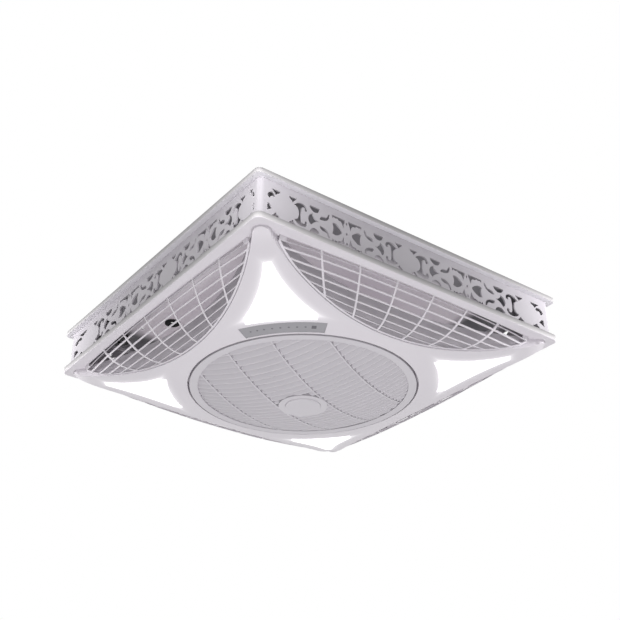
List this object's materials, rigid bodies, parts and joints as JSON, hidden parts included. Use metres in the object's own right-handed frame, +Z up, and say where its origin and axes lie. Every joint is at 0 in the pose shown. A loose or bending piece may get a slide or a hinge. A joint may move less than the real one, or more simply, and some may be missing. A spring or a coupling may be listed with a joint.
{
  "type": "ceiling panel fan",
  "caption": "Square ceiling fan with four intake grilles, corner lamps, a pierced skirt and a domed louvre that turns under the fan.",
  "frame": {"origin": "centre of the ceiling plate's top face, which lies against the ceiling", "axes": "+Z up to the ceiling, everything hangs below; +X to the right side and +Y to the back side, with the display by the corner at -X -Y"},
  "size_m": [0.598, 0.598, 0.1705],
  "materials": {
    "panel_white": "moulded white plastic, satin",
    "skirt_white": "moulded white plastic, satin",
    "inner_white": "moulded off-white plastic, matt",
    "lamp_opal": "opal lamp cover, lit from behind",
    "display_grey": "smoked translucent grey plastic",
    "circuit_board": "white solder mask on board",
    "lamp_chip": "yellow phosphor on small lamp chips",
    "display_dot": "dark clear indicator body",
    "black_plastic": "black moulded plastic",
    "box_grey": "grey moulded plastic",
    "rubber": "black rubber, matt",
    "zinc_steel": "zinc plated steel",
    "ground_steel": "ground steel",
    "motor_aluminium": "die-cast aluminium",
    "core_steel": "stacked electrical steel",
    "copper": "enamelled copper wire"
  },
  "bodies": {
    "housing": {"air_duct": "inner_white", "bearing_lower": "ground_steel", "bearing_upper": "ground_steel", "board_screws": "zinc_steel", "bracket_screws": "zinc_steel", "cable_grommet": "rubber", "ceiling_plate": "skirt_white", "control_board": "circuit_board", "control_box_base": "box_grey", "control_box_lid": "box_grey", "corner_post_far": "inner_white", "corner_post_left": "inner_white", "corner_post_near": "inner_white", "corner_post_right": "inner_white", "display_board": "circuit_board", "display_dots": "display_dot", "display_window": "display_grey", "duct_screws": "zinc_steel", "front_panel": "panel_white", "intake_grille_back": "panel_white", "intake_grille_front": "panel_white", "intake_grille_left": "panel_white", "intake_grille_right": "panel_white", "lamp_boards": "circuit_board", "lamp_chips": "lamp_chip", "lamp_diffuser_far": "lamp_opal", "lamp_diffuser_left": "lamp_opal", "lamp_diffuser_near": "lamp_opal", "lamp_diffuser_right": "lamp_opal", "lamp_driver": "box_grey", "louvre_guard": "inner_white", "louvre_motor_can": "zinc_steel", "louvre_motor_coil": "copper", "louvre_motor_cover": "zinc_steel", "louvre_motor_screws": "zinc_steel", "motor_bracket": "zinc_steel", "motor_screws": "zinc_steel", "motor_shell_lower": "motor_aluminium", "motor_shell_upper": "motor_aluminium", "mount_screws": "zinc_steel", "remote_receiver": "black_plastic", "rubber_mounts": "rubber", "skirt_panel_back": "skirt_white", "skirt_panel_front": "skirt_white", "skirt_panel_left": "skirt_white", "skirt_panel_right": "skirt_white", "stator_core": "core_steel", "stator_windings": "copper", "terminal_block": "black_plastic", "tie_screws": "zinc_steel", "unit_screws": "zinc_steel"},
    "fan": {"motor_shaft": "ground_steel", "rotor": "core_steel", "impeller": "inner_white", "drive_pin": "zinc_steel", "impeller_nut": "zinc_steel"},
    "louvre": {"louvre_shaft": "ground_steel", "rotary_louvre": "panel_white", "louvre_screw": "zinc_steel", "hub_cap": "panel_white"}
  },
  "joints": [
    {"name": "fan_spin", "type": "hinge", "parent": "housing", "child": "fan", "pos_m": [0, 0, -0.0835], "axis": [0, 0, 1], "continuous": true},
    {"name": "louvre_spin", "type": "hinge", "parent": "housing", "child": "louvre", "pos_m": [0, 0, -0.1385], "axis": [0, 0, 1], "continuous": true}
  ]
}
